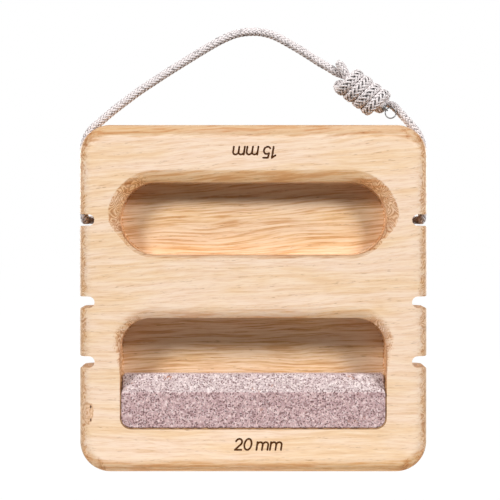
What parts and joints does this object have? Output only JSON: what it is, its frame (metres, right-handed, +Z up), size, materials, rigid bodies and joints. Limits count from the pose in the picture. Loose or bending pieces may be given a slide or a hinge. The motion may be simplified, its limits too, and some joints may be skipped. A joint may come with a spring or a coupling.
{
  "type": "portable hangboard",
  "caption": "Square wooden hangboard with a shallow finger pocket, a deep pocket edged by a stone bar, side notches, and a knotted hanging loop of braided cord.",
  "frame": {"origin": "inside the top of the cord loop, where the loop hangs from a hook or bar", "axes": "+Z up as it hangs, +X to the right seen from the front, +Y from the finger pockets towards the back"},
  "size_m": [0.202, 0.0432, 0.2571],
  "materials": {
    "wood": "fine sanded, open pores",
    "stone": "honed, speckled",
    "glue": "cured",
    "cord": "braided",
    "thread": "waxed thread",
    "metal": "bright"
  },
  "bodies": {
    "loop": {"cord_left_stretch": "cord", "cord_right_stretch": "cord", "knot_wraps": "cord", "knot_through_strand": "cord", "tail_whipping": "thread", "tail_crimp": "metal"},
    "board": {"wood_board": "wood", "stone_edge": "stone", "stone_glue_bed": "glue", "cord_board_run": "cord"},
    "ring": {"tail_ring": "metal"}
  },
  "joints": [
    {"name": "board_swing", "type": "hinge", "parent": "loop", "child": "board", "pos_m": [0, 0, -0.0493], "axis": [1, 0, 0], "range_deg": [-38, 55]},
    {"name": "ring_swing", "type": "hinge", "parent": "loop", "child": "ring", "pos_m": [0.07732, -0.00285, -0.04299], "axis": [-0.6, 0, -0.8], "range_deg": [-5, 90]}
  ]
}
